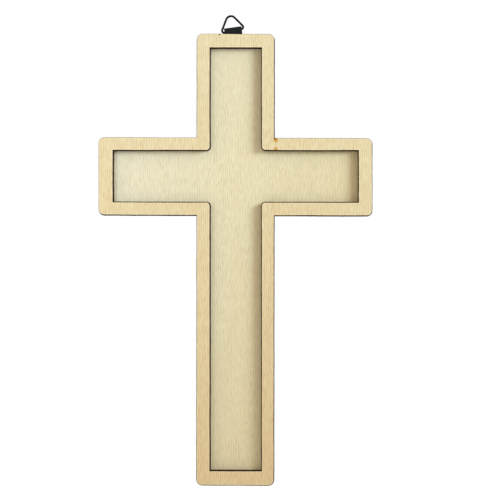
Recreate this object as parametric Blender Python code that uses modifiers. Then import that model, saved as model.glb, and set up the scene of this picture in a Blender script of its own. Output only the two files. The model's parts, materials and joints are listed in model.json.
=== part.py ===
"""A blank craft wall cross.

A cross-shaped plywood board carries a plywood rim of the same outline, glued
round its edge so that the middle of the cross is a shallow recess. A folded
sheet-metal strap is screwed to the back of the upper end, and a triangular
wire ring swings in its fold.

Metres, +Z up. The front faces -Y and the wall is at +Y. The origin is the
highest point of the inside of the ring, where it rests on its nail. The wire
lies in the plane Y = 0 at rest.
"""

import math

import bmesh
import bpy
from mathutils import Matrix

# The cross's outline, seen from the front
CROSS_HEIGHT = 0.2500
CROSS_WIDTH = 0.1518
SHAFT_WIDTH = 0.0433
ARM_HEIGHT = 0.0434
ARM_DROP = 0.0574            # upper end of the shaft to the arms' upper edge
OUTER_CORNER_RADIUS = 0.0033

# The rim's four straight widths and the recess that they leave
SIDE_BORDER = 0.0074         # along the shaft and the arms
END_BORDER = 0.0080          # across the four ends
CROSSING_RADIUS = 0.0020     # the rim's four inward-pointing corners

# The two layers, and the glue line between them
RIM_THICKNESS = 0.0040
BOARD_THICKNESS = 0.0030
GLUE_GAP = 0.0003

# The triangular ring of round wire, measured on the wire's centre line
WIRE_DIAMETER = 0.0011
RING_HEIGHT = 0.0084         # the bar in the strap's fold to the top of the ring
FOOT_SPREAD = 0.0047         # middle of the bar to the centre of each lower bend
FOOT_BEND = 0.00125
APEX_BEND = 0.0028
WIRE_END_GAP = 0.0003        # between the wire's two ends, inside the fold
RING_LEAN = math.radians(12.2)

# The strap: a sheet folded over the bar, both leaves behind the board
STRAP_WIDTH = 0.0098
STRAP_THICKNESS = 0.0006
STRAP_DROP = 0.0115          # the bar down to the strap's lower end
STRAP_CORNER = 0.0030
STRAP_TRIM = 0.0010          # sheet cut away round the strap's outline
STRAP_LEAN = math.radians(8.0)
EYE_CLEARANCE = 0.0009       # round the wire
LEAF_GAP = 0.0001
RETURN_BEND = 0.0010         # where the back leaf comes in to the front one
STRAP_GAP = 0.0003           # to the board and to the screw's head

# The strap's one screw
SCREW_DROP = 0.0075          # the bar down to the screw's axis
SCREW_OFFSET = 0.0005        # the screw stands this far left of the cross's middle
SHANK_RADIUS = 0.0010
HEAD_RADIUS = 0.0022
HEAD_HEIGHT = 0.0012
HEAD_EDGE = 0.0004           # straight side of the pan head under its dome
SCREW_LENGTH = 0.0060
POINT_LENGTH = 0.0014
HOLE_CLEARANCE = 0.0003
DRIVE_SPAN = 0.0026          # the cross-shaped drive recess, end to end
DRIVE_WIDTH = 0.0005
DRIVE_DEPTH = 0.0007

# Where the cross sits under the hanger
BAR_ABOVE_EDGE = 0.0023      # the bar's axis above the cross's upper edge

# Curves are drawn this much larger, because a flat fill drops the shortest edges
DRAWN = 1000

# Facets
CORNER_STEPS = 6
BEND_STEPS = 8
TURN_STEPS = 28

# The ring's bar: its middle lies on the hinge's axis
WIRE_RADIUS = WIRE_DIAMETER / 2
APEX_CENTRE_Z = -(APEX_BEND - WIRE_RADIUS)
BAR_X = (RING_HEIGHT - APEX_BEND) * math.sin(RING_LEAN)
BAR_Z = APEX_CENTRE_Z - (RING_HEIGHT - APEX_BEND) * math.cos(RING_LEAN)

# The strap's fold, and the layers in front of it
FOLD_RADIUS = WIRE_RADIUS + EYE_CLEARANCE + STRAP_THICKNESS / 2
STRAP_FRONT_Y = -(FOLD_RADIUS + STRAP_THICKNESS / 2)
STRAP_BACK_Y = STRAP_FRONT_Y + 2 * STRAP_THICKNESS + LEAF_GAP
BOARD_BACK_Y = STRAP_FRONT_Y - STRAP_GAP
BOARD_FRONT_Y = BOARD_BACK_Y - BOARD_THICKNESS
RIM_BACK_Y = BOARD_FRONT_Y - GLUE_GAP
RIM_FRONT_Y = RIM_BACK_Y - RIM_THICKNESS
HEAD_SEAT_Y = STRAP_BACK_Y + STRAP_GAP
HOLE_END_Y = HEAD_SEAT_Y - SCREW_LENGTH - HOLE_CLEARANCE
HOLE_RADIUS = SHANK_RADIUS + HOLE_CLEARANCE

# The cross's middle and upper edge, measured from the bar's middle
CROSS_X = SCREW_DROP * math.sin(STRAP_LEAN) + SCREW_OFFSET
CROSS_TOP_Z = -BAR_ABOVE_EDGE


def clear_objects():
    for old in list(bpy.data.objects):
        bpy.data.objects.remove(old, do_unlink=True)


def new_collection(name):
    made = bpy.data.collections.new(name)
    bpy.context.scene.collection.children.link(made)
    return made


def linear(red, green, blue):
    """A photographed 0-255 colour as the linear colour that a shader takes."""
    return [(channel / 255) ** 2.2 for channel in (red, green, blue)] + [1.0]


def new_material(name, colour, roughness, metallic):
    made = bpy.data.materials.new(name)
    made.use_nodes = True
    shader = made.node_tree.nodes["Principled BSDF"]
    shader.inputs["Base Color"].default_value = colour
    shader.inputs["Roughness"].default_value = roughness
    shader.inputs["Metallic"].default_value = metallic
    return made


def new_empty(name, location, lean=0.0, parent=None):
    """A guide: a lean tips its top to the left as the front shows it."""
    guide = bpy.data.objects.new(name, None)
    guide.location = location
    guide.rotation_euler = (0, -lean, 0)
    guide.parent = parent
    guide.hide_render = True
    PARTS.objects.link(guide)
    return guide


def arc(centre_x, centre_y, radius, start, end, steps):
    """Points on an arc, angles in radians, anticlockwise when end is larger."""
    turns = [start + (end - start) * step / steps for step in range(steps + 1)]
    return [(centre_x + radius * math.cos(turn), centre_y + radius * math.sin(turn)) for turn in turns]


def rounded(corners):
    """An anticlockwise outline of right-angled corners, each (x, y, radius)."""
    points = []
    count = len(corners)
    for index, (x, y, radius) in enumerate(corners):
        if not radius:
            points.append((x, y))
            continue
        before = corners[index - 1]
        after = corners[(index + 1) % count]
        into = math.atan2(y - before[1], x - before[0])
        out = math.atan2(after[1] - y, after[0] - x)
        turn = (out - into + math.pi) % (2 * math.pi) - math.pi
        side = math.copysign(math.pi / 2, turn)
        centre_x = x - radius * math.cos(into) + radius * math.cos(into + side)
        centre_y = y - radius * math.sin(into) + radius * math.sin(into + side)
        points += arc(centre_x, centre_y, radius, into - side, into - side + turn, CORNER_STEPS)
    return points


def cross_outline(border_side, border_end, end_radius, crossing_radius):
    """The cross's outline moved inwards by a border, its upper edge at y = 0."""
    half_shaft = SHAFT_WIDTH / 2 - border_side
    half_width = CROSS_WIDTH / 2 - border_end
    top = -border_end
    bottom = border_end - CROSS_HEIGHT
    arm_top = -ARM_DROP - border_side
    arm_bottom = -ARM_DROP - ARM_HEIGHT + border_side
    right = [
        (half_shaft, bottom, end_radius),
        (half_shaft, arm_bottom, crossing_radius),
        (half_width, arm_bottom, end_radius),
        (half_width, arm_top, end_radius),
        (half_shaft, arm_top, crossing_radius),
        (half_shaft, top, end_radius),
    ]
    left = [(-x, y, radius) for x, y, radius in reversed(right)]
    return rounded(right + left)


def new_curve(name, splines, closed, dimensions):
    """A drawn curve of straight-sided splines, each a list of (x, y) points in metres."""
    data = bpy.data.curves.new(name, "CURVE")
    data.dimensions = dimensions
    for points in splines:
        spline = data.splines.new("POLY")
        spline.points.add(len(points) - 1)
        for point, (x, y) in zip(spline.points, points):
            point.co = (x * DRAWN, y * DRAWN, 0, 1)
        spline.use_cyclic_u = closed
    made = bpy.data.objects.new(name, data)
    bpy.context.scene.collection.objects.link(made)
    return made


def as_mesh(curve, name, collection, smooth_angle=None):
    """The drawn curve's solid or strip as a mesh object at its real size."""
    bpy.context.view_layer.update()
    seen = curve.evaluated_get(bpy.context.evaluated_depsgraph_get())
    mesh = bpy.data.meshes.new_from_object(seen)
    mesh.name = name
    mesh.transform(Matrix.Scale(1 / DRAWN, 4))
    cage = bmesh.new()
    cage.from_mesh(mesh)
    bmesh.ops.remove_doubles(cage, verts=cage.verts, dist=1e-6)
    bmesh.ops.recalc_face_normals(cage, faces=cage.faces)
    cage.to_mesh(mesh)
    cage.free()
    if smooth_angle:
        mesh.shade_smooth()
        mesh.set_sharp_from_angle(angle=smooth_angle)
    made = bpy.data.objects.new(name, mesh)
    made.matrix_world = curve.matrix_world.copy()
    bpy.data.objects.remove(curve, do_unlink=True)
    collection.objects.link(made)
    return made


def flat_plate(name, outlines, thickness, collection):
    """A plate of the outlines' shape, standing up, its middle plane at y = 0."""
    curve = new_curve(name + "_outline", outlines, True, "2D")
    curve.data.fill_mode = "BOTH"
    curve.data.extrude = thickness / 2 * DRAWN
    made = as_mesh(curve, name, collection)
    if len(outlines) == 1:
        join_flat_faces(made.data)
    made.rotation_euler = (math.pi / 2, 0, 0)
    return made


def join_flat_faces(mesh):
    """Makes each of a plate's two flat sides, where it has no opening, one face."""
    cage = bmesh.new()
    cage.from_mesh(mesh)
    for side in (-1, 1):
        flat = [face for face in cage.faces if all(side * corner.co.z > 0 for corner in face.verts)]
        bmesh.ops.dissolve_faces(cage, faces=flat)
    cage.to_mesh(mesh)
    cage.free()


def cut(piece, cutter, operation="DIFFERENCE"):
    modifier = piece.modifiers.new(cutter.name, "BOOLEAN")
    modifier.operation = operation
    modifier.solver = "EXACT"
    modifier.object = cutter
    cutter.hide_render = True
    cutter.display_type = "WIRE"


def place(piece, parent, location):
    piece.parent = parent
    piece.location = location


def as_cutter(piece, name):
    """Takes the primitive just added out of the parts and into the cutters."""
    piece.name = name
    for holder in list(piece.users_collection):
        holder.objects.unlink(piece)
    CUTTERS.objects.link(piece)
    return piece


def make_screw_hole():
    """One bore along the screw, from behind the strap to past the screw's point."""
    start = STRAP_BACK_Y + FOLD_RADIUS
    depth = start - HOLE_END_Y
    bpy.ops.mesh.primitive_cylinder_add(vertices=TURN_STEPS, radius=HOLE_RADIUS, depth=depth)
    bore = as_cutter(bpy.context.object, "screw_hole")
    bore.rotation_euler = (math.pi / 2, 0, 0)
    place(bore, strap_frame, (0, (start + HOLE_END_Y) / 2, -SCREW_DROP))
    return bore


def make_board():
    outline = cross_outline(0, 0, OUTER_CORNER_RADIUS, 0)
    board = flat_plate("back_board", [outline], BOARD_THICKNESS, PARTS)
    board.data.materials.append(new_material("board_plywood", linear(230, 219, 184), 0.6, 0.0))
    place(board, cross_frame, (CROSS_X, (BOARD_BACK_Y + BOARD_FRONT_Y) / 2, CROSS_TOP_Z))
    cut(board, screw_hole)


def make_rim():
    outline = cross_outline(0, 0, OUTER_CORNER_RADIUS, 0)
    recess = cross_outline(SIDE_BORDER, END_BORDER, 0, CROSSING_RADIUS)
    rim = flat_plate("raised_rim", [outline, recess], RIM_THICKNESS, PARTS)
    rim.data.materials.append(new_material("rim_plywood", linear(232, 216, 174), 0.6, 0.0))
    place(rim, cross_frame, (CROSS_X, (RIM_BACK_Y + RIM_FRONT_Y) / 2, CROSS_TOP_Z))
    cut(rim, screw_hole)


def fold_route():
    """The uncut sheet's middle surface from the side, each point (back, up)."""
    front = -FOLD_RADIUS
    back = STRAP_BACK_Y - STRAP_THICKNESS / 2
    bend_x = back + RETURN_BEND
    bend_z = -math.sqrt((FOLD_RADIUS + RETURN_BEND) ** 2 - bend_x ** 2)
    meet = math.atan2(bend_z, bend_x)
    end = -STRAP_DROP - STRAP_TRIM
    route = [(front, end)]
    route += arc(0, 0, FOLD_RADIUS, math.pi, meet, 3 * BEND_STEPS)
    route += arc(bend_x, bend_z, RETURN_BEND, meet + math.pi, math.pi, BEND_STEPS)[1:]
    route += [(back, end)]
    return route


def make_strap():
    curve = new_curve("strap_fold", [fold_route()], False, "2D")
    curve.data.fill_mode = "NONE"
    curve.data.extrude = (STRAP_WIDTH / 2 + STRAP_TRIM) * DRAWN
    strap = as_mesh(curve, "hanger_strap", PARTS, math.radians(40))
    strap.rotation_euler = (math.pi / 2, 0, math.pi / 2)
    place(strap, strap_frame, (0, 0, 0))
    shell = strap.modifiers.new("sheet", "SOLIDIFY")
    shell.thickness = STRAP_THICKNESS
    shell.offset = 0
    shell.use_even_offset = True
    edge = STRAP_WIDTH / 2
    above = 2 * FOLD_RADIUS
    tongue = rounded([
        (-edge, -STRAP_DROP, STRAP_CORNER),
        (edge, -STRAP_DROP, STRAP_CORNER),
        (edge, above, 0),
        (-edge, above, 0),
    ])
    shape = flat_plate("strap_shape", [tongue], 4 * FOLD_RADIUS, CUTTERS)
    place(shape, strap_frame, (0, 0, 0))
    cut(strap, shape, "INTERSECT")
    cut(strap, screw_hole)
    strap.data.materials.append(new_material("strap_enamel", linear(38, 42, 44), 0.35, 0.0))


def ring_route():
    """The ring's centre line from one wire end, round the triangle, to the other."""
    apex_z = RING_HEIGHT - APEX_BEND
    along = -FOOT_SPREAD
    rise = apex_z - FOOT_BEND
    tilt = math.acos((FOOT_BEND - APEX_BEND) / math.hypot(along, rise))
    leg = math.atan2(rise, along) - tilt
    route = [(WIRE_END_GAP / 2, 0)]
    route += arc(FOOT_SPREAD, FOOT_BEND, FOOT_BEND, -math.pi / 2, leg, BEND_STEPS)
    route += arc(0, apex_z, APEX_BEND, leg, math.pi - leg, BEND_STEPS)
    route += arc(-FOOT_SPREAD, FOOT_BEND, FOOT_BEND, math.pi - leg, 3 * math.pi / 2, BEND_STEPS)
    route += [(-WIRE_END_GAP / 2, 0)]
    return route


def make_ring():
    wire = new_curve("ring_wire", [ring_route()], False, "3D")
    wire.data.bevel_depth = WIRE_RADIUS * DRAWN
    wire.data.bevel_resolution = 3
    wire.data.use_fill_caps = True
    ring = as_mesh(wire, "hanger_ring", PARTS, math.radians(60))
    ring.data.materials.append(new_material("ring_enamel", linear(16, 16, 17), 0.3, 0.0))
    ring.rotation_euler = (math.pi / 2, 0, 0)
    place(ring, ring_frame, (0, 0, 0))


def make_screw():
    """A pan-head wood screw, its axis along local Z and its head's seat at z = 0."""
    dome = arc(0, HEAD_EDGE, 1, math.pi / 2, 0, BEND_STEPS)
    rise = HEAD_HEIGHT - HEAD_EDGE
    profile = [(HEAD_RADIUS * x, HEAD_EDGE + rise * (z - HEAD_EDGE)) for x, z in dome]
    profile[0] = (0, HEAD_HEIGHT)
    profile += [(HEAD_RADIUS, 0), (SHANK_RADIUS, 0)]
    profile += [(SHANK_RADIUS, POINT_LENGTH - SCREW_LENGTH), (0, -SCREW_LENGTH)]
    mesh = bpy.data.meshes.new("hanger_screw")
    cage = bmesh.new()
    corners = [cage.verts.new((x, 0, z)) for x, z in profile]
    for start, end in zip(corners, corners[1:]):
        cage.edges.new((start, end))
    cage.to_mesh(mesh)
    cage.free()
    screw = bpy.data.objects.new("hanger_screw", mesh)
    PARTS.objects.link(screw)
    turned = screw.modifiers.new("turned", "SCREW")
    turned.steps = TURN_STEPS
    turned.render_steps = TURN_STEPS
    turned.use_merge_vertices = True
    turned.merge_threshold = 0.00001
    for index, (span_x, span_y) in enumerate([(DRIVE_SPAN, DRIVE_WIDTH), (DRIVE_WIDTH, DRIVE_SPAN)]):
        bpy.ops.mesh.primitive_cube_add(size=1)
        slot = as_cutter(bpy.context.object, "drive_slot_%d" % (index + 1))
        slot.scale = (span_x, span_y, 2 * DRIVE_DEPTH)
        place(slot, screw, (0, 0, HEAD_HEIGHT))
        cut(screw, slot)
    screw.data.materials.append(new_material("screw_steel", linear(60, 62, 64), 0.35, 1.0))
    screw.rotation_euler = (-math.pi / 2, 0, 0)
    place(screw, strap_frame, (0, HEAD_SEAT_Y, -SCREW_DROP))


clear_objects()
PARTS = new_collection("wall_cross")
CUTTERS = new_collection("cutters")

# The ring and the cross turn against each other on the bar's middle
ring_frame = new_empty("ring_frame", (BAR_X, 0, BAR_Z), RING_LEAN)
cross_frame = new_empty("cross_frame", (BAR_X, 0, BAR_Z))
strap_frame = new_empty("strap_frame", (0, 0, 0), STRAP_LEAN, cross_frame)

screw_hole = make_screw_hole()
make_board()
make_rim()
make_strap()
make_ring()
make_screw()
bpy.context.view_layer.update()
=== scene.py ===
"""A blank plywood wall cross with a raised rim and a triangle-ring hanger.

The pieces follow in the order that they are put together: the backing board,
the raised rim, the wire ring, the strap that holds it, and the screw. The
floor, the lights and the camera come last.
"""

import json
import math

import bmesh
import bpy
import numpy as np
from mathutils import Matrix, Vector, noise
from mathutils.geometry import delaunay_2d_cdt


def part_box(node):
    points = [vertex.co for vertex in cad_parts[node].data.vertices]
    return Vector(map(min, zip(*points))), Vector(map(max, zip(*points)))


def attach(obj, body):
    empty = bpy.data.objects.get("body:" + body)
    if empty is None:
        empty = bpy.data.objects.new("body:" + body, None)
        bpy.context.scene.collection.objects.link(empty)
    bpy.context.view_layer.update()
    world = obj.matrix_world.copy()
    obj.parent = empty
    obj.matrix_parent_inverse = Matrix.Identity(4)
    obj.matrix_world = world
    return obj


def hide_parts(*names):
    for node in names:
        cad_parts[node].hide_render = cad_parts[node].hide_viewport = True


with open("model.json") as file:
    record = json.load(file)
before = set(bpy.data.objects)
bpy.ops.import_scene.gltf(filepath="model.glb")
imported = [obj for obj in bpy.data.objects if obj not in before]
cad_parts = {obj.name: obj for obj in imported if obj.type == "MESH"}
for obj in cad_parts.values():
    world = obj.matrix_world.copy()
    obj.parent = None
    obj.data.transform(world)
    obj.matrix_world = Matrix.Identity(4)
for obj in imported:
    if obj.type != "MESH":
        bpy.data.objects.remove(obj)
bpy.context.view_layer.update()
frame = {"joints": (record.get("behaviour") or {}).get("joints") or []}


# The backing board: a cross cut by laser from thin three-ply lime plywood, its
# face veneers' grain running up the shaft. The beam chars the cut edge dark
# brown and leaves it faintly wavy, and one small bore takes the strap's screw.

SHAFT_WIDTH = 0.0433
ARM_HEIGHT = 0.0434
ARM_DROP = 0.0574            # upper end of the shaft to the arms' upper edge
END_ROUND = 0.0033
BEAM_ROUND = 0.00012         # the least corner that the beam leaves
CUT_STEP = 0.0007            # between two points along a cut edge
ROUND_STEPS = 10
FLAT_STEP = 0.0045           # between two points inside a flat face
MILLIMETRES = 1000           # a flat face is filled at this scale, because the filler wants large numbers
MEETING_GAP = 1e-5           # two points nearer than this, at that scale, are one
EDGE_WEAR = 0.00010          # sanded off the edges of a face
BOARD_LEAN = 0.00008         # the cut edge's front stands back this far from its foot
CUT_SLOPE = 0.0026           # how far the outline falls to the right, as a share of the way
FOOT_SPARE = 0.00032         # the board comes out this much longer than the rim at its foot
SLOW_DRIFT = (0.00010, 70, 40)       # a cut's drift: its reach, its pitch along the cut and into it
FINE_RIPPLE = (0.00005, 620, 150)    # and the ripple on top of it
GLUE_GROOVE = 0.00004
HEAT_REACH = 0.0010          # how far from the cut the beam's heat shows on a face
EDGE_STEPS = [               # each: set back from the cut, below the face, nearness to the cut
    (HEAT_REACH, 0.0, 0.0),
    (HEAT_REACH / 2, 0.0, 0.25),
    (HEAT_REACH / 5, 0.0, 0.7),
    (EDGE_WEAR, 0.0, 1.0),
    (EDGE_WEAR * 0.3, EDGE_WEAR * 0.3, 1.0),
    (0.0, EDGE_WEAR, 1.0),
]
BORE_ROUND = 0.0013
BORE_STEPS = 32
FACE = 0                     # a plank's two finishes, as its material slots
CUT = 1
BOARD_PALE = (0.928, 0.866, 0.646)
BOARD_WARM = (0.894, 0.800, 0.562)
BOARD_FIBRE = (0.632, 0.526, 0.328)
BOARD_FOOT_PAINTED_SHADE = (1.030, 0.998, 0.928)   # painted shade: the tint's change from the top to the foot, where less light falls
BOARD_RIGHT_PAINTED_SHADE = (0.992, 0.969, 0.842)  # painted shade: and from the left arm's end to the right arm's, darker to the right
BOARD_SPECKS = [             # each: x, z, radius, tone
    (0.00911, -0.22565, 0.0003, (0.36, 0.29, 0.18)),
    (0.01199, -0.23250, 0.0003, (0.26, 0.20, 0.12)),
    (0.00928, -0.02985, 0.0005, (0.68, 0.60, 0.44)),
    (0.01414, -0.03101, 0.0004, (0.67, 0.59, 0.43)),
]
BOARD_HEAT = 0.8             # how strongly the beam browned the face beside the cut
BOARD_PAINTED_HIGHLIGHT = 1.0           # painted highlight: how much paler the face is drawn beside the cut
VENEER_BANDS = (0.005, 0.050, 0.02)      # sizes of the grain: across, up and into the veneer
VENEER_FIBRES = (0.00040, 0.0042, 0.004)
FIBRE_PATCHES = (0.0022, 0.0035, 0.003)
FIBRE_GAP = 0.0012           # between two rows of fibre
FIBRE_RUN = 0.0028           # along a row, from one waver to the next
FIBRE_WAVER = 5.0
FIBRE_RELIEF = 0.00004
VENEER_ROUGHNESS = 0.62
VENEER_SHINE = 0.25
SCORCH_PATCHES = (0.004, 0.004, 0.004)
SCORCH_BROWN = (0.240, 0.130, 0.050)
BEAM_MARKS = (0.0005, 0.0005, 0.006)     # the beam's marks run square to the faces
CHAR_PATCHES = (0.006, 0.006, 0.003)
CHAR_RELIEF = 0.00008
CHAR_ROUGHNESS = 0.85
CHAR_SHINE = 0.15
CHAR_DARK = (0.010, 0.007, 0.006)
CHAR_BROWN = (0.075, 0.044, 0.030)
CORE_BROWN = (0.030, 0.018, 0.014)
PLY_BLEND = 0.03             # how softly one ply's char turns into the next, as a share of the edge
BOARD_GLUE = (0.27, 0.73)    # the two glue lines between the plies, as shares of the thickness

board_low, board_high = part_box("back_board")
screw_low, screw_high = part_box("hanger_screw")
cross_middle = (board_low.x + board_high.x) / 2
cross_top = board_high.z
cross_foot = board_low.z
screw_axis = ((screw_low.x + screw_high.x) / 2, (screw_low.z + screw_high.z) / 2)


def cross_corners(side, end):
    """The cross's twelve corners, moved in from the board's edge by two borders."""
    half_shaft = SHAFT_WIDTH / 2 - side
    half_width = (board_high.x - board_low.x) / 2 - end
    arm_top = cross_top - ARM_DROP - side
    arm_foot = cross_top - ARM_DROP - ARM_HEIGHT + side
    right = [
        (half_shaft, cross_foot + end),
        (half_shaft, arm_foot),
        (half_width, arm_foot),
        (half_width, arm_top),
        (half_shaft, arm_top),
        (half_shaft, cross_top - end),
    ]
    left = [(-x, z) for x, z in reversed(right)]
    return [Vector((cross_middle + x, z)) for x, z in right + left]


def cut_line(side, end, end_round, crossing_round, drift=(0.0, 0.0)):
    """Points along the cross's outline, as many for every border, anticlockwise from the front."""
    corners = cross_corners(side, end)
    board_corners = cross_corners(0, 0)
    rounds = [end_round, crossing_round, end_round, end_round, crossing_round, end_round] * 2
    points = []
    for index, corner in enumerate(corners):
        after = (index + 1) % len(corners)
        into = (corner - corners[index - 1]).normalized()
        out = (corners[after] - corner).normalized()
        centre = corner + (out - into) * rounds[index]
        for step in range(ROUND_STEPS + 1):
            turn = math.pi / 2 * step / ROUND_STEPS
            points.append(centre + (into * math.sin(turn) - out * math.cos(turn)) * rounds[index])
        start = points[-1]
        stop = corners[after] - out * rounds[after]
        steps = round((board_corners[after] - board_corners[index]).length / CUT_STEP)
        points += [start.lerp(stop, step / steps) for step in range(1, steps)]
    return np.array([(x + drift[0], z + drift[1]) for x, z in points])


def unsteady(line, depth, seed):
    """The line as a laser cuts it: a slow drift and a fine ripple, square to the cut."""
    run = np.roll(line, -1, axis=0) - np.roll(line, 1, axis=0)
    away = np.stack([run[:, 1], -run[:, 0]], axis=1)
    away /= np.linalg.norm(away, axis=1, keepdims=True)
    offset = np.zeros(len(line))
    for reach, pitch, change in (SLOW_DRIFT, FINE_RIPPLE):
        wave = [noise.noise(Vector((x * pitch, z * pitch, seed + depth * change))) for x, z in line]
        offset += reach * np.array(wave)
    return line + away * offset[:, None]


def round_line(centre, radius, steps):
    turns = np.linspace(0, 2 * math.pi, steps, endpoint=False)
    return np.stack([centre[0] + radius * np.cos(turns), centre[1] + radius * np.sin(turns)], axis=1)


def new_plank():
    cage = bmesh.new()
    cage.verts.layers.float.new("edge")
    return cage


def lay_line(plank, line, y, edge):
    """The line's points as a ring of vertices at one depth, this near a cut edge."""
    layer = plank.verts.layers.float["edge"]
    ring = [plank.verts.new((x, y, z)) for x, z in line]
    for corner in ring:
        corner[layer] = edge
    return ring


def join_rings(plank, rings, finish):
    for near, far in zip(rings, rings[1:]):
        for index in range(len(near)):
            face = plank.faces.new((near[index - 1], near[index], far[index], far[index - 1]))
            face.material_index = finish
            face.smooth = True


def skin_edge(plank, rings):
    """Faces over a cut edge's rings: the first and last steps lie in the flat faces."""
    join_rings(plank, rings[:3], FACE)
    join_rings(plank, rings[2:-2], CUT)
    join_rings(plank, rings[-3:], FACE)


def inside(points, rings):
    """Which of the points an odd number of the rings go round."""
    odd = np.zeros(len(points), bool)
    for ring in rings:
        ends = np.roll(ring, -1, axis=0)
        for (x0, z0), (x1, z1) in zip(ring, ends):
            crosses = (points[:, 1] < z0) != (points[:, 1] < z1)
            reach = x0 + (points[:, 1] - z0) * (x1 - x0) / ((z1 - z0) or 1)
            odd ^= crosses & (points[:, 0] < reach)
    return odd


def fill_flat(plank, rings):
    """A flat face between the rings, over an even spread of inner points."""
    y = rings[0][0].co.y
    lines = [np.array([(corner.co.x, corner.co.z) for corner in ring]) for ring in rings]
    edge = np.concatenate(lines)
    low, high = edge.min(axis=0), edge.max(axis=0)
    across = np.arange(low[0] + FLAT_STEP / 2, high[0], FLAT_STEP)
    down = np.arange(low[1] + FLAT_STEP / 2, high[1], FLAT_STEP)
    spread = np.array([(x, z) for x in across for z in down])
    spread = spread[inside(spread, lines)]
    gaps = np.array([np.hypot(*(edge - point).T).min() for point in spread])
    spread = spread[gaps > FLAT_STEP / 3]
    corners = [corner for ring in rings for corner in ring] + list(lay_line(plank, spread, y, 0.0))
    bounds = []
    first = 0
    for ring in rings:
        count = len(ring)
        bounds += [(first + index, first + (index + 1) % count) for index in range(count)]
        first += count
    flat = [Vector((corner.co.x, corner.co.z)) * MILLIMETRES for corner in corners]
    met, _, faces, sources, _, _ = delaunay_2d_cdt(flat, bounds, [], 1, MEETING_GAP)
    middles = [sum((met[index] for index in face), Vector((0, 0))) / (3 * MILLIMETRES) for face in faces]
    for face, kept in zip(faces, inside(np.array(middles), lines)):
        if kept:
            made = plank.faces.new([corners[sources[index][0]] for index in face])
            made.material_index = FACE


def close_plank(plank, name, finishes):
    bmesh.ops.recalc_face_normals(plank, faces=plank.faces)
    mesh = bpy.data.meshes.new(name)
    plank.to_mesh(mesh)
    plank.free()
    for finish in finishes:
        mesh.materials.append(finish)
    piece = bpy.data.objects.new(name, mesh)
    bpy.context.scene.collection.objects.link(piece)
    return piece


def cut_depths(front, back, glue_lines, lean):
    """A cut edge from its front face to its back face, each (set back, y, nearness)."""
    thickness = back - front
    depths = [(inset, front + below, edge) for inset, below, edge in EDGE_STEPS]
    for share in glue_lines:
        y = front + thickness * share
        depths += [(0.0, y - 2 * GLUE_GROOVE, 1.0), (GLUE_GROOVE, y, 1.0), (0.0, y + 2 * GLUE_GROOVE, 1.0)]
    depths += [(inset, back - below, edge) for inset, below, edge in reversed(EDGE_STEPS)]
    return [(inset + lean * (back - y) / thickness, y, edge) for inset, y, edge in depths]


def new_finish(name, roughness):
    finish = bpy.data.materials.new(name)
    finish.use_nodes = True
    shader = finish.node_tree.nodes["Principled BSDF"]
    shader.inputs["Roughness"].default_value = roughness
    return finish, finish.node_tree, shader


def streaks(tree, size, seed, detail=2.0):
    """Noise of that size in metres along the piece's X, Z and Y, on the piece's own place."""
    across, up, deep = size
    place = tree.nodes.new("ShaderNodeTexCoord")
    stretch = tree.nodes.new("ShaderNodeMapping")
    stretch.inputs["Location"].default_value = (seed, seed * 1.7, seed * 0.6)
    stretch.inputs["Scale"].default_value = (1 / across, 1 / deep, 1 / up)
    grain = tree.nodes.new("ShaderNodeTexNoise")
    grain.inputs["Scale"].default_value = 1.0
    grain.inputs["Detail"].default_value = detail
    tree.links.new(place.outputs["Object"], stretch.inputs["Vector"])
    tree.links.new(stretch.outputs["Vector"], grain.inputs["Vector"])
    return grain.outputs["Fac"]


def fibre_rows(tree, gap, run, waver, seed):
    """Upright rows of fibre that far apart, wavering sideways over that length."""
    place = tree.nodes.new("ShaderNodeTexCoord")
    stretch = tree.nodes.new("ShaderNodeMapping")
    stretch.inputs["Location"].default_value = (seed, 0, seed * 0.7)
    stretch.inputs["Scale"].default_value = (1 / gap, 1 / gap, 1 / run)
    rows = tree.nodes.new("ShaderNodeTexWave")
    rows.bands_direction = "X"
    rows.inputs["Scale"].default_value = math.pi / 10    # one band for each unit of length
    rows.inputs["Distortion"].default_value = waver
    rows.inputs["Detail"].default_value = 1.0
    rows.inputs["Detail Scale"].default_value = 1.6
    tree.links.new(place.outputs["Object"], stretch.inputs["Vector"])
    tree.links.new(stretch.outputs["Vector"], rows.inputs["Vector"])
    return rows.outputs["Fac"]


def ramp(tree, value, start, stop, low, high, curve="SMOOTHSTEP"):
    """The value's stretch from start to stop, as low to high."""
    reach = tree.nodes.new("ShaderNodeMapRange")
    reach.interpolation_type = curve
    reach.inputs["From Min"].default_value = start
    reach.inputs["From Max"].default_value = stop
    reach.inputs["To Min"].default_value = low
    reach.inputs["To Max"].default_value = high
    tree.links.new(value, reach.inputs["Value"])
    return reach.outputs["Result"]


def times(tree, one, other):
    product = tree.nodes.new("ShaderNodeMath")
    product.operation = "MULTIPLY"
    tree.links.new(one, product.inputs[0])
    tree.links.new(other, product.inputs[1])
    return product.outputs["Value"]


def tint(tree, share, under, over, blend="MIX"):
    """Two colours or colour outputs mixed by the share."""
    mix = tree.nodes.new("ShaderNodeMix")
    mix.data_type = "RGBA"
    mix.blend_type = blend
    tree.links.new(share, mix.inputs["Factor"])
    for socket, colour in ((mix.inputs["A"], under), (mix.inputs["B"], over)):
        if isinstance(colour, tuple):
            socket.default_value = (*colour, 1.0)
        else:
            tree.links.new(colour, socket)
    return mix.outputs["Result"]


def along(tree, way, start, stop):
    """A share that grows evenly over the piece in one direction, between two distances."""
    place = tree.nodes.new("ShaderNodeTexCoord")
    reach = tree.nodes.new("ShaderNodeVectorMath")
    reach.operation = "DOT_PRODUCT"
    reach.inputs[1].default_value = way
    tree.links.new(place.outputs["Object"], reach.inputs[0])
    return ramp(tree, reach.outputs["Value"], start, stop, 0.0, 1.0, "LINEAR")


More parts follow.
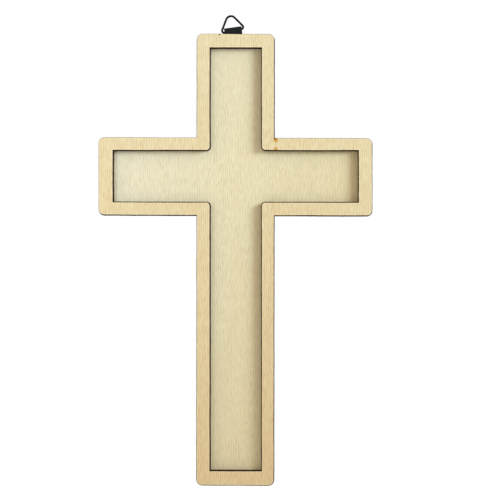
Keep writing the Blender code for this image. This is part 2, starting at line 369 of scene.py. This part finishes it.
def speck(tree, colour, spot, size, tone):
    """A small soft mark of that radius at a spot (x, z) of a face."""
    place = tree.nodes.new("ShaderNodeTexCoord")
    flat = tree.nodes.new("ShaderNodeVectorMath")
    flat.operation = "MULTIPLY"
    flat.inputs[1].default_value = (1, 0, 1)
    away = tree.nodes.new("ShaderNodeVectorMath")
    away.operation = "DISTANCE"
    away.inputs[1].default_value = (spot[0], 0, spot[1])
    tree.links.new(place.outputs["Object"], flat.inputs[0])
    tree.links.new(flat.outputs["Vector"], away.inputs[0])
    return tint(tree, ramp(tree, away.outputs["Value"], size, size / 3, 0.0, 1.0), colour, tone)


def raise_grain(tree, shader, height, depth):
    """Turns a height into fine relief of that depth in metres."""
    relief = tree.nodes.new("ShaderNodeBump")
    relief.inputs["Strength"].default_value = 1.0
    relief.inputs["Distance"].default_value = depth
    tree.links.new(height, relief.inputs["Height"])
    tree.links.new(relief.outputs["Normal"], shader.inputs["Normal"])


def scorch_and_painted_highlight(tree, colour, heat, painted_highlight):
    """A face beside its cut: paler there as a painted highlight, browned where the beam's heat reached."""
    near = tree.nodes.new("ShaderNodeAttribute")
    near.attribute_name = "edge"
    beside = ramp(tree, near.outputs["Fac"], 0.15, 0.35, 0.0, 1.0)
    # painted highlight: the face drawn paler beside the cut
    colour = tint(tree, beside, colour, (painted_highlight,) * 3, "MULTIPLY")
    patch = ramp(tree, streaks(tree, SCORCH_PATCHES, seed=5.0), 0.3, 0.7, heat / 3, heat)
    return tint(tree, times(tree, near.outputs["Fac"], patch), colour, SCORCH_BROWN)


def lime_veneer(name, pale, warm, fibre, foot, right, seed):
    """Sanded lime veneer: faint bands, fine short fibres and pores, and tints towards the foot and the
    right arm that are painted shade and light.
    """
    finish, tree, shader = new_finish(name, VENEER_ROUGHNESS)
    bands = ramp(tree, streaks(tree, VENEER_BANDS, seed), 0.35, 0.65, 0.0, 0.32)
    wood = tint(tree, bands, pale, warm)
    fine = streaks(tree, VENEER_FIBRES, seed + 7, detail=0.0)
    wood = tint(tree, ramp(tree, fine, 0.35, 0.65, 0.0, 0.22), wood, fibre)
    rows = ramp(tree, fibre_rows(tree, FIBRE_GAP, FIBRE_RUN, FIBRE_WAVER, seed), 0.2, 0.9, 0.0, 1.0)
    shown = ramp(tree, streaks(tree, FIBRE_PATCHES, seed + 11), 0.30, 0.75, 0.10, 0.45)
    wood = tint(tree, times(tree, rows, shown), wood, fibre)
    # painted shade and light: the colour tinted towards the foot and towards the right arm
    wood = tint(tree, along(tree, (0, 0, -1), -cross_top, -cross_foot), wood, foot, "MULTIPLY")
    wood = tint(tree, along(tree, (1, 0, 0), board_low.x, board_high.x), wood, right, "MULTIPLY")
    shader.inputs["Specular IOR Level"].default_value = VENEER_SHINE
    raise_grain(tree, shader, fine, FIBRE_RELIEF)
    return finish, tree, shader, wood


def charred_cut(name, front, back, glue_lines, seed):
    """A laser-cut plywood edge: beam marks square to the faces, browner veneers and a darker core."""
    finish, tree, shader = new_finish(name, CHAR_ROUGHNESS)
    marks = streaks(tree, BEAM_MARKS, seed, detail=3.0)
    patches = streaks(tree, CHAR_PATCHES, seed + 4)
    burn = times(tree, ramp(tree, marks, 0.35, 0.70, 0.15, 1.0), ramp(tree, patches, 0.35, 0.65, 0.3, 1.0))
    depth = along(tree, (0, 1, 0), front, back)
    past_front = ramp(tree, depth, glue_lines[0] - PLY_BLEND, glue_lines[0] + PLY_BLEND, 0.0, 1.0)
    before_back = ramp(tree, depth, glue_lines[1] - PLY_BLEND, glue_lines[1] + PLY_BLEND, 1.0, 0.0)
    browned = tint(tree, times(tree, past_front, before_back), CHAR_BROWN, CORE_BROWN)
    tree.links.new(tint(tree, burn, CHAR_DARK, browned), shader.inputs["Base Color"])
    shader.inputs["Specular IOR Level"].default_value = CHAR_SHINE
    raise_grain(tree, shader, marks, CHAR_RELIEF)
    return finish


def bore_rings(plank, mouth, end):
    """A bore's wall from a face at the mouth's depth to another depth."""
    line = round_line(screw_axis, BORE_ROUND, BORE_STEPS)
    rings = [lay_line(plank, line, mouth, 1.0), lay_line(plank, line, end, 1.0)]
    join_rings(plank, rings, CUT)
    return rings


board = new_plank()
board_rings = []
for inset, y, edge in cut_depths(board_low.y, board_high.y, BOARD_GLUE, BOARD_LEAN):
    line = cut_line(inset, inset, END_ROUND - inset, BEAM_ROUND + inset)
    line[line[:, 1] < cross_foot + END_ROUND, 1] -= FOOT_SPARE
    line[:, 1] -= CUT_SLOPE * (line[:, 0] - cross_middle)
    board_rings.append(lay_line(board, unsteady(line, y, seed=3.0), y, edge))
skin_edge(board, board_rings)
bore_front, bore_back = bore_rings(board, board_low.y, board_high.y)
fill_flat(board, [board_rings[0], bore_front])
fill_flat(board, [board_rings[-1], bore_back])
board_face, board_tree, board_shader, board_wood = lime_veneer(
    "board_veneer", BOARD_PALE, BOARD_WARM, BOARD_FIBRE, BOARD_FOOT_PAINTED_SHADE, BOARD_RIGHT_PAINTED_SHADE, seed=2.0
)
for x, z, size, tone in BOARD_SPECKS:
    board_wood = speck(board_tree, board_wood, (x, z), size, tone)
board_colour = scorch_and_painted_highlight(board_tree, board_wood, BOARD_HEAT, BOARD_PAINTED_HIGHLIGHT)
board_tree.links.new(board_colour, board_shader.inputs["Base Color"])
board_cut = charred_cut("board_cut_edge", board_low.y, board_high.y, BOARD_GLUE, seed=1.0)
board_piece = close_plank(board, "backing_board", [board_face, board_cut])
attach(board_piece, "cross")
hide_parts("back_board")


# The raised rim: a cross-shaped ring of slightly thicker and warmer plywood,
# cut by the same laser and glued round the board's edge. Its inner walls lean
# a little, so that a thin charred line shows round the recess.

RIM_LEAN = 0.00030           # the outer edge's front stands back this far from its foot
KERF_DRIFT = (-0.00008, 0.00010)     # and leans over by this much more
SIDE_BORDER = 0.00730        # at the rim's front; the walls lean in to the recess from there
END_BORDER = 0.0080
CROSSING_ROUND = 0.0020
INNER_LEAN = 0.00044         # the inner walls' foot stands this far into the recess
BEAM_TILT = (0.00014, 0.0)   # and the beam's tilt moves the foot this much more
OPENING_DRIFT = (-0.00002, 0.00025)  # the recess was cut this far off the middle
OPENING_SKEW = 0.0011        # and runs off to the right by this share of the way down
RIM_GLUE = (0.25, 0.75)
GLUE_FILM = 0.00004          # between the rim's back and the board
BORE_SPARE = 0.0003          # how far the bore goes past the screw's point
RIM_HEAT = 0.10
# painted highlight: the rim's face drawn paler beside its cut edges
RIM_PAINTED_HIGHLIGHT = 1.20
RIM_PALE = (0.900, 0.774, 0.487)
RIM_WARM = (0.855, 0.685, 0.382)
RIM_FIBRE = (0.585, 0.407, 0.181)
# painted shade: the rim drawn darker and warmer towards the foot
RIM_FOOT_PAINTED_SHADE = (1.016, 0.935, 0.853)
# painted light: the rim drawn paler and bluer towards the right arm's end
RIM_RIGHT_PAINTED_LIGHT = (1.030, 1.085, 1.134)
RIM_SPECKS = [               # each: x, z, radius, tone
    (0.02500, -0.06880, 0.0019, (0.72, 0.36, 0.05)),
    (0.02455, -0.06800, 0.0011, (0.24, 0.10, 0.03)),
    (0.02490, -0.07380, 0.0016, (0.72, 0.41, 0.09)),
    (0.02500, -0.07440, 0.0006, (0.42, 0.20, 0.05)),
    (-0.00619, -0.01047, 0.0007, (0.10, 0.07, 0.05)),
]

rim_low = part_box("raised_rim")[0]
rim_back = board_low.y - GLUE_FILM
blind_end = screw_low.y - BORE_SPARE


def opening_line(set_back, depth, share):
    """The recess's outline at one depth: set back into the wood, or foot first out of it."""
    foot = INNER_LEAN * share
    reach = foot - set_back
    drift = (OPENING_DRIFT[0] + BEAM_TILT[0] * share, OPENING_DRIFT[1] + BEAM_TILT[1] * share)
    line = cut_line(SIDE_BORDER + reach, END_BORDER + reach, BEAM_ROUND, CROSSING_ROUND + reach, drift)
    line[:, 0] += OPENING_SKEW * (cross_top - line[:, 1])
    return unsteady(line, depth, seed=21.0)


rim = new_plank()
outer_rings = []
for inset, y, edge in cut_depths(rim_low.y, rim_back, RIM_GLUE, RIM_LEAN):
    share = (rim_back - y) / (rim_back - rim_low.y)
    drift = (KERF_DRIFT[0] * share, KERF_DRIFT[1] * share)
    line = cut_line(inset, inset, END_ROUND - inset, BEAM_ROUND + inset, drift)
    line[:, 1] -= CUT_SLOPE * (line[:, 0] - cross_middle)
    outer_rings.append(lay_line(rim, unsteady(line, y, seed=9.0), y, edge))
inner_rings = []
for inset, y, edge in cut_depths(rim_low.y, rim_back, RIM_GLUE, 0.0):
    share = (y - rim_low.y) / (rim_back - rim_low.y)
    inner_rings.append(lay_line(rim, opening_line(inset, y, share), y, edge))
skin_edge(rim, outer_rings)
skin_edge(rim, inner_rings)
rim_bore, rim_bore_end = bore_rings(rim, rim_back, blind_end)
rim.faces.new(rim_bore_end).material_index = CUT
fill_flat(rim, [outer_rings[0], inner_rings[0]])
fill_flat(rim, [outer_rings[-1], inner_rings[-1], rim_bore])
rim_face, rim_tree, rim_shader, rim_wood = lime_veneer(
    "rim_veneer", RIM_PALE, RIM_WARM, RIM_FIBRE, RIM_FOOT_PAINTED_SHADE, RIM_RIGHT_PAINTED_LIGHT, seed=31.0
)
for x, z, size, tone in RIM_SPECKS:
    rim_wood = speck(rim_tree, rim_wood, (x, z), size, tone)
rim_colour = scorch_and_painted_highlight(rim_tree, rim_wood, RIM_HEAT, RIM_PAINTED_HIGHLIGHT)
rim_tree.links.new(rim_colour, rim_shader.inputs["Base Color"])
rim_cut = charred_cut("rim_cut_edge", rim_low.y, rim_back, RIM_GLUE, seed=14.0)
rim_piece = close_plank(rim, "raised_rim_ring", [rim_face, rim_cut])
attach(rim_piece, "cross")
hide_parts("raised_rim")


# The wire ring: a small triangle of iron wire, bent over three round corners,
# its two ends meeting inside the strap's fold. It is enamelled black and hangs
# loosely, so it turns round its lower side and leans a little.

WIRE_RADIUS = 0.00058        # the wire and its coat of enamel
RING_HEIGHT = 0.0084         # the lower side to the top of the ring
FOOT_SPREAD = 0.0047         # middle of the lower side to the centre of each lower bend
FOOT_BEND = 0.00125
APEX_BEND = 0.0028
WIRE_END_GAP = 0.0003
WIRE_SIDES = 24
BEND_STEPS = 18
SIDE_STEPS = 14
WIRE_GIRTHS = (0.70, 0.93)   # the wire's cut ends, as shares of its radius
WIRE_DENTS = (0.02, 900)     # how uneven the wire is, and how often to the metre
WIRE_BLACK = (0.0012, 0.0012, 0.0013)
WIRE_GREY = (0.004, 0.004, 0.0045)
WIRE_ROUGHNESS = 0.60
WIRE_SHINE = 0.05
ENAMEL_GRAIN = 0.0002
ENAMEL_MOTTLE = 6            # a mottle's size, in grains
ENAMEL_RELIEF = 0.00001

hinge = frame["joints"][0]
bar_middle = Vector(hinge["pos_m"])
bar_way = Vector(hinge["axis"]).normalized()
bar_back = Vector((0, 1, 0))
ring_turn = Matrix((bar_way, bar_back, bar_way.cross(bar_back))).transposed()
hanger_place = Matrix.Translation(bar_middle) @ ring_turn.to_4x4()


def bend(centre, radius, start, end, steps):
    """Points round a bend, from one angle to another."""
    turns = [start + (end - start) * step / steps for step in range(steps + 1)]
    return [Vector((centre[0] + radius * math.cos(t), centre[1] + radius * math.sin(t))) for t in turns]


def straight(start, end, steps):
    """Points between two others, both left out."""
    return [start.lerp(end, step / steps) for step in range(1, steps)]


def wire_route():
    """The ring's middle line from one end, round its three corners, to the other."""
    apex_z = RING_HEIGHT - APEX_BEND
    rise = apex_z - FOOT_BEND
    slope = math.acos((FOOT_BEND - APEX_BEND) / math.hypot(FOOT_SPREAD, rise))
    side = math.atan2(rise, -FOOT_SPREAD) - slope
    right = bend((FOOT_SPREAD, FOOT_BEND), FOOT_BEND, -math.pi / 2, side, BEND_STEPS)
    apex = bend((0, apex_z), APEX_BEND, side, math.pi - side, BEND_STEPS)
    left = bend((-FOOT_SPREAD, FOOT_BEND), FOOT_BEND, math.pi - side, 1.5 * math.pi, BEND_STEPS)
    start = Vector((WIRE_END_GAP / 2, 0))
    end = Vector((-WIRE_END_GAP / 2, 0))
    route = [start] + straight(start, right[0], SIDE_STEPS // 2) + right
    route += straight(right[-1], apex[0], SIDE_STEPS) + apex + straight(apex[-1], left[0], SIDE_STEPS)
    return route + left + straight(left[-1], end, SIDE_STEPS // 2) + [end]


def drawn_wire(name, route, radius, finish):
    """A wire along a flat route, its cut ends closed and a little rounded."""
    cage = bmesh.new()
    rings = []
    dent, pitch = WIRE_DENTS
    girths = [*WIRE_GIRTHS, *[1.0] * (len(route) - 2 * len(WIRE_GIRTHS)), *reversed(WIRE_GIRTHS)]
    for index, (point, girth) in enumerate(zip(route, girths)):
        before = route[max(index - 1, 0)]
        after = route[min(index + 1, len(route) - 1)]
        way = (after - before).normalized()
        ring = []
        for side in range(WIRE_SIDES):
            turn = 2 * math.pi * side / WIRE_SIDES
            uneven = 1 + dent * noise.noise(Vector((point.x * pitch, point.y * pitch, turn)))
            out = radius * girth * uneven * math.cos(turn)
            ring.append(cage.verts.new((
                point.x - way.y * out,
                radius * girth * uneven * math.sin(turn),
                point.y + way.x * out,
            )))
        rings.append(ring)
    for near, far in zip(rings, rings[1:]):
        for side in range(WIRE_SIDES):
            cage.faces.new((near[side - 1], near[side], far[side], far[side - 1])).smooth = True
    cage.faces.new(rings[0])
    cage.faces.new(rings[-1])
    return close_plank(cage, name, [finish])


def enamel(name, dark, light, roughness, grain, shine):
    """Thin stoved enamel: not quite even in colour or gloss, with a fine orange peel."""
    finish, tree, shader = new_finish(name, roughness)
    mottle = streaks(tree, (grain * ENAMEL_MOTTLE,) * 3, seed=4.0)
    mottled = tint(tree, ramp(tree, mottle, 0.45, 0.75, 0.0, 1.0), dark, light)
    tree.links.new(mottled, shader.inputs["Base Color"])
    gloss = ramp(tree, mottle, 0.3, 0.7, roughness - 0.08, roughness + 0.10)
    tree.links.new(gloss, shader.inputs["Roughness"])
    shader.inputs["Specular IOR Level"].default_value = shine
    raise_grain(tree, shader, streaks(tree, (grain,) * 3, seed=8.0), ENAMEL_RELIEF)
    return finish, tree, shader


wire_finish = enamel("ring_enamel", WIRE_BLACK, WIRE_GREY, WIRE_ROUGHNESS, ENAMEL_GRAIN, WIRE_SHINE)[0]
ring_piece = drawn_wire("triangle_ring", wire_route(), WIRE_RADIUS, wire_finish)
ring_piece.matrix_world = hanger_place
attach(ring_piece, "ring")
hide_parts("hanger_ring")


# The strap: a tongue of thin sheet steel folded over the ring's lower side,
# with both leaves pressed together below it and punched for the screw. It is
# enamelled blue-black, with painted shade darkening the fold where it turns over the wire.

STRAP_WIDTH = 0.0098
STRAP_THICKNESS = 0.0006
STRAP_DROP = 0.0115          # the ring's lower side to the strap's lower end
STRAP_CORNER = 0.0030
STRAP_LEAN = math.radians(8.0)
EYE_CLEARANCE = 0.00087      # the fold's inside stands this far off the wire
LEAF_GAP = 0.0001
RETURN_BEND = 0.0010         # where the back leaf turns down from the fold
SCREW_DROP = 0.0075
STRAP_ACROSS = 28
LEAF_STEPS = 26
EYE_STEPS = 40
SHEET_EDGE = 0.00012         # the round on the sheet's edges
STRAP_BLUE = (0.006, 0.009, 0.011)
STRAP_GREY = (0.014, 0.019, 0.022)
STRAP_ROUGHNESS = 0.50
STRAP_SHINE = 0.2
# painted shade: the strap's colour darkened by this over the top of the fold
FOLD_PAINTED_SHADE = (0.3, 0.3, 0.3)
FOLD_PAINTED_SHADE_START = 0.45           # the painted shade starts this far up the fold, as a share of its radius
SHARP_TURN = math.radians(50)    # only corners sharper than this are softened

FOLD_RADIUS = WIRE_RADIUS + EYE_CLEARANCE + STRAP_THICKNESS / 2
leaf_back = STRAP_THICKNESS / 2 + LEAF_GAP + STRAP_THICKNESS / 2 - FOLD_RADIUS
strap_place = Matrix.Translation(bar_middle) @ Matrix.Rotation(-STRAP_LEAN, 4, "Y")


def leaf_end(across):
    """How far down a leaf reaches that far from its middle, with its corners rounded."""
    past = max(0.0, abs(across) - (STRAP_WIDTH / 2 - STRAP_CORNER))
    return -STRAP_DROP + STRAP_CORNER - math.sqrt(max(0.0, STRAP_CORNER ** 2 - past ** 2))


def fold_line(across):
    """The sheet's middle line from the front leaf's end, over the ring, to the back leaf's."""
    bend_y = leaf_back + RETURN_BEND
    bend_z = -math.sqrt((FOLD_RADIUS + RETURN_BEND) ** 2 - bend_y ** 2)
    meet = math.atan2(bend_z, bend_y)
    eye = bend((0, 0), FOLD_RADIUS, math.pi, meet, EYE_STEPS)
    back = bend((bend_y, bend_z), RETURN_BEND, meet + math.pi, math.pi, EYE_STEPS // 4)
    front_end = Vector((-FOLD_RADIUS, leaf_end(across)))
    back_end = Vector((leaf_back, leaf_end(across)))
    line = [front_end] + straight(front_end, eye[0], LEAF_STEPS) + eye + back[1:]
    return line + straight(back[-1], back_end, LEAF_STEPS) + [back_end]


def apply_shape(piece):
    """Makes the piece's modifiers part of its mesh."""
    graph = bpy.context.evaluated_depsgraph_get()
    shaped = bpy.data.meshes.new_from_object(piece.evaluated_get(graph), depsgraph=graph)
    piece.modifiers.clear()
    piece.data = shaped


def turned_profile(name, profile, steps):
    """A closed shape turned on its local Z from (radius, z) points, its ends on the axis."""
    cage = bmesh.new()
    first = cage.verts.new((0, 0, profile[0][1]))
    last = cage.verts.new((0, 0, profile[-1][1]))
    rings = []
    for radius, z in profile[1:-1]:
        turns = [2 * math.pi * step / steps for step in range(steps)]
        rings.append([cage.verts.new((radius * math.cos(t), radius * math.sin(t), z)) for t in turns])
    for near, far in zip(rings, rings[1:]):
        for step in range(steps):
            cage.faces.new((near[step - 1], near[step], far[step], far[step - 1])).smooth = True
    for step in range(steps):
        cage.faces.new((first, rings[0][step - 1], rings[0][step])).smooth = True
        cage.faces.new((last, rings[-1][step], rings[-1][step - 1])).smooth = True
    return close_plank(cage, name, [])


def cut_away(piece, cutter):
    """Takes the cutter's shape out of the piece and clears the cutter away."""
    taken = piece.modifiers.new("taken_out", "BOOLEAN")
    taken.operation = "DIFFERENCE"
    taken.solver = "EXACT"
    taken.object = cutter
    apply_shape(piece)
    bpy.data.objects.remove(cutter)


strap_cage = bmesh.new()
half_strap = STRAP_WIDTH / 2
turns = [math.pi / 2 * (2 * step / STRAP_ACROSS - 1) for step in range(STRAP_ACROSS + 1)]
widths = [half_strap * math.sin(turn) for turn in turns]
strap_grid = [[strap_cage.verts.new((x, y, z)) for y, z in fold_line(x)] for x in widths]
for near, far in zip(strap_grid, strap_grid[1:]):
    for index in range(1, len(near)):
        strap_cage.faces.new((near[index - 1], near[index], far[index], far[index - 1])).smooth = True
strap_finish, strap_tree, strap_shader = enamel(
    "strap_enamel", STRAP_BLUE, STRAP_GREY, STRAP_ROUGHNESS, ENAMEL_GRAIN, STRAP_SHINE
)
strap_enamel = strap_shader.inputs["Base Color"].links[0].from_socket
# painted shade darkening the top of the fold
fold = along(strap_tree, (0, 0, 1), FOLD_RADIUS * FOLD_PAINTED_SHADE_START, FOLD_RADIUS)
strap_colour = tint(strap_tree, fold, strap_enamel, FOLD_PAINTED_SHADE, "MULTIPLY")
strap_tree.links.new(strap_colour, strap_shader.inputs["Base Color"])
strap_piece = close_plank(strap_cage, "folded_strap", [strap_finish])
strap_piece.matrix_world = strap_place
sheet = strap_piece.modifiers.new("sheet", "SOLIDIFY")
sheet.thickness = STRAP_THICKNESS
sheet.offset = 0
sheet.use_even_offset = True
soft_edge = strap_piece.modifiers.new("soft_edge", "BEVEL")
soft_edge.width = SHEET_EDGE
soft_edge.segments = 3
soft_edge.limit_method = "ANGLE"
soft_edge.angle_limit = SHARP_TURN
apply_shape(strap_piece)
punch_reach = 4 * FOLD_RADIUS
punch = turned_profile(
    "punch",
    [(0, -punch_reach), (BORE_ROUND, -punch_reach), (BORE_ROUND, punch_reach), (0, punch_reach)],
    BORE_STEPS,
)
punch_place = Matrix.Translation((0, 0, -SCREW_DROP)) @ Matrix.Rotation(math.pi / 2, 4, "X")
punch.matrix_world = strap_place @ punch_place
cut_away(strap_piece, punch)
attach(strap_piece, "cross")
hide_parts("hanger_strap")


# The screw: a small pan-head wood screw of blackened steel with a cross-shaped
# drive. It holds the strap against the back, and its thread runs through the
# board into the rim without reaching the front.

SHANK_RADIUS = 0.0010
CORE_RADIUS = 0.00078
CREST_RADIUS = 0.00118
THREAD_PITCH = 0.0010
SCREW_LENGTH = 0.0060
POINT_LENGTH = 0.0014
HEAD_RADIUS = 0.0022
HEAD_HEIGHT = 0.0012
HEAD_EDGE = 0.0004
HEAD_WEAR = 0.00008
NECK = 1.2                   # the head's underside ends here, as a share of the shank
CREST_SHARPNESS = 2.2
POINT_CURVE = 0.8
POINT_RADIUS = 0.00004
DRIVE_SPAN = 0.0026
DRIVE_WIDTH = 0.0005
DRIVE_DEPTH = 0.0007
DRIVE_TAPER = 0.35           # the drive's span at its floor, as a share of its mouth
DRIVE_PINCH = 0.8            # and its width there
THREAD_TURN_STEPS = 36
THREAD_STEPS = 120
SCREW_DARK = (0.055, 0.055, 0.060)
SCREW_BRIGHT = (0.200, 0.195, 0.190)
STEEL_ROUGHNESS = 0.40
STEEL_GRAIN = 0.0003
STEEL_SHINE = 0.4


def thread_radius(turn, z):
    """The shank's surface at a height below the head, where the thread winds."""
    if z > -THREAD_PITCH:
        return SHANK_RADIUS
    ridge = abs((z / THREAD_PITCH - turn / (2 * math.pi)) % 1 - 0.5) * 2
    crest = CORE_RADIUS + (CREST_RADIUS - CORE_RADIUS) * max(0.0, 1 - CREST_SHARPNESS * ridge)
    fade = min(1.0, (-z - THREAD_PITCH) / (THREAD_PITCH / 2))
    body = SHANK_RADIUS + (crest - SHANK_RADIUS) * fade
    return max(POINT_RADIUS, body * min(1.0, (SCREW_LENGTH + z) / POINT_LENGTH) ** POINT_CURVE)


screw_cage = bmesh.new()
dome = bend((0, HEAD_EDGE), 1, math.pi / 2, 0, BEND_STEPS)
dome = [(HEAD_RADIUS * x, HEAD_EDGE + (HEAD_HEIGHT - HEAD_EDGE) * (z - HEAD_EDGE)) for x, z in dome[1:]]
lip = [
    (HEAD_RADIUS, HEAD_EDGE / 2),
    (HEAD_RADIUS, HEAD_WEAR),
    (HEAD_RADIUS - HEAD_WEAR, 0.0),
    (SHANK_RADIUS * NECK, 0.0),
]
levels = [[(radius, z)] * THREAD_TURN_STEPS for radius, z in dome + lip]
turns = [2 * math.pi * step / THREAD_TURN_STEPS for step in range(THREAD_TURN_STEPS)]
for step in range(1, THREAD_STEPS):
    z = -SCREW_LENGTH * step / THREAD_STEPS
    levels.append([(thread_radius(turn, z), z) for turn in turns])
screw_rings = []
for level in levels:
    ring = []
    for (radius, z), turn in zip(level, turns):
        ring.append(screw_cage.verts.new((radius * math.cos(turn), radius * math.sin(turn), z)))
    screw_rings.append(ring)
for near, far in zip(screw_rings, screw_rings[1:]):
    for step in range(THREAD_TURN_STEPS):
        screw_cage.faces.new((near[step - 1], near[step], far[step], far[step - 1])).smooth = True
head_top = screw_cage.verts.new((0, 0, HEAD_HEIGHT))
screw_tip = screw_cage.verts.new((0, 0, -SCREW_LENGTH))
for step in range(THREAD_TURN_STEPS):
    screw_cage.faces.new((head_top, screw_rings[0][step - 1], screw_rings[0][step])).smooth = True
    screw_cage.faces.new((screw_tip, screw_rings[-1][step], screw_rings[-1][step - 1])).smooth = True
screw_finish, _, screw_shader = enamel(
    "blackened_steel", SCREW_DARK, SCREW_BRIGHT, STEEL_ROUGHNESS, STEEL_GRAIN, STEEL_SHINE
)
screw_shader.inputs["Metallic"].default_value = 1.0
screw_piece = close_plank(screw_cage, "strap_screw", [screw_finish])
screw_seat = Vector((screw_axis[0], screw_low.y + SCREW_LENGTH, screw_axis[1]))
screw_turn = Matrix.Rotation(-STRAP_LEAN, 4, "Y") @ Matrix.Rotation(-math.pi / 2, 4, "X")
screw_piece.matrix_world = Matrix.Translation(screw_seat) @ screw_turn


def drive_outline(span, width):
    """A plus sign's twelve corners."""
    long, short = span / 2, width / 2
    arm = [(long, -short), (long, short), (short, short)]
    quarter = [Matrix.Rotation(math.pi / 2 * turn, 2) for turn in range(4)]
    return [rotation @ Vector(corner) for rotation in quarter for corner in arm]


drive_cage = bmesh.new()
drive_mouth = drive_outline(DRIVE_SPAN, DRIVE_WIDTH)
drive_floor = drive_outline(DRIVE_SPAN * DRIVE_TAPER, DRIVE_WIDTH * DRIVE_PINCH)
drive_levels = []
for rise, outline in ((DRIVE_DEPTH, drive_mouth), (0.0, drive_mouth), (-DRIVE_DEPTH, drive_floor)):
    drive_levels.append([drive_cage.verts.new((x, y, HEAD_HEIGHT + rise)) for x, y in outline])
for near, far in zip(drive_levels, drive_levels[1:]):
    for index in range(len(near)):
        drive_cage.faces.new((near[index - 1], near[index], far[index], far[index - 1]))
drive_cage.faces.new(drive_levels[0])
drive_cage.faces.new(drive_levels[-1])
drive = close_plank(drive_cage, "drive", [])
drive.matrix_world = screw_piece.matrix_world
cut_away(screw_piece, drive)
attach(screw_piece, "cross")
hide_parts("hanger_screw")


# The floor, lights and camera: a pale floor well below the cross, a soft light
# from the right, a weak one from the left, a wide one behind and an even sky,
# and the camera level with the cross, far enough back to see it nearly flat.

PHOTO_SIZE = 500
PHOTO_SCALE = 0.25 / 452.45  # metres in the rim's plane for each pixel of the picture
CAMERA_REACH = 1.30
SENSOR = 36.0
CROSS_CENTRE_PIXEL = (235.50, 259.8)
CAMERA_ROLL = math.radians(0.07)     # the cross hangs this little askew in the picture
FLOOR_DROP = 0.30
FLOOR_REACH = 2.4
FLOOR_SIDES = 96
FLOOR_GREY = (0.74, 0.80, 0.88)
FLOOR_ROUGHNESS = 0.9
SKY_STRENGTH = 0.563
RIGHT_WHITE = (0.82, 1.0, 1.18)
LEFT_WHITE = (0.68, 1.0, 1.30)
SKY_WHITE = (1.18, 1.0, 0.80)
BACK_WHITE = (1.0, 1.0, 1.0)
BACKDROP_WHITE = (1.0, 1.0, 1.0)     # what the camera sees behind the cross

look_at = Vector((cross_middle, 0, (cross_top + cross_foot) / 2))
middle = PHOTO_SIZE / 2
camera_data = bpy.data.cameras.new("camera")
camera_data.sensor_width = SENSOR
camera_data.lens = SENSOR * CAMERA_REACH / (PHOTO_SIZE * PHOTO_SCALE)
camera = bpy.data.objects.new("camera", camera_data)
camera.location = (
    look_at.x + (middle - CROSS_CENTRE_PIXEL[0]) * PHOTO_SCALE,
    rim_low.y - CAMERA_REACH,
    look_at.z - (middle - CROSS_CENTRE_PIXEL[1]) * PHOTO_SCALE,
)
camera.rotation_euler = (math.pi / 2, -CAMERA_ROLL, 0)
bpy.context.scene.collection.objects.link(camera)
bpy.context.scene.camera = camera


def soft_light(name, place, target, width, height, watts, spread, colour):
    """A soft box with a grid over it, aimed at a target, that no camera sees."""
    data = bpy.data.lights.new(name, "AREA")
    data.shape = "RECTANGLE"
    data.size = width
    data.size_y = height
    data.energy = watts
    data.spread = math.radians(spread)
    data.color = colour
    light = bpy.data.objects.new(name, data)
    light.location = place
    light.rotation_euler = (Vector(target) - light.location).to_track_quat("-Z", "Y").to_euler()
    light.visible_camera = False
    bpy.context.scene.collection.objects.link(light)


soft_light(
    "light_right",
    place=(0.841, -0.602, 0.230),
    target=(0.019, 0, -0.001),
    width=0.567,
    height=0.326,
    watts=0.663,
    spread=42.6,
    colour=RIGHT_WHITE,
)
soft_light(
    "light_left",
    place=(-0.350, -0.537, 0.063),
    target=(-0.139, 0, -0.010),
    width=0.106,
    height=0.529,
    watts=0.081,
    spread=29.1,
    colour=LEFT_WHITE,
)
soft_light(
    "light_behind",
    place=(-0.5, 0.9, 0.4),
    target=(0, 0, -0.13),
    width=0.80,
    height=0.80,
    watts=7.0,
    spread=180.0,
    colour=BACK_WHITE,
)

floor_mesh = bpy.data.meshes.new("floor")
floor_cage = bmesh.new()
bmesh.ops.create_circle(floor_cage, cap_ends=True, segments=FLOOR_SIDES, radius=FLOOR_REACH)
floor_cage.to_mesh(floor_mesh)
floor_cage.free()
floor = bpy.data.objects.new("floor", floor_mesh)
floor.location = (cross_middle, 0, cross_foot - FLOOR_DROP)
bpy.context.scene.collection.objects.link(floor)
floor_finish, _, floor_shader = new_finish("floor_paint", FLOOR_ROUGHNESS)
floor_shader.inputs["Base Color"].default_value = (*FLOOR_GREY, 1.0)
floor_mesh.materials.append(floor_finish)

world = bpy.data.worlds.new("studio")
world.use_nodes = True
bpy.context.scene.world = world
studio = world.node_tree
sky = studio.nodes["Background"]
sky.inputs["Color"].default_value = (*SKY_WHITE, 1.0)
sky.inputs["Strength"].default_value = SKY_STRENGTH
backdrop = studio.nodes.new("ShaderNodeBackground")
backdrop.inputs["Color"].default_value = (*BACKDROP_WHITE, 1.0)
backdrop.inputs["Strength"].default_value = 1.0
seen = studio.nodes.new("ShaderNodeLightPath")
either = studio.nodes.new("ShaderNodeMixShader")
studio.links.new(seen.outputs["Is Camera Ray"], either.inputs["Fac"])
studio.links.new(sky.outputs["Background"], either.inputs[1])
studio.links.new(backdrop.outputs["Background"], either.inputs[2])
studio.links.new(either.outputs["Shader"], studio.nodes["World Output"].inputs["Surface"])
bpy.context.scene.view_settings.view_transform = "Standard"
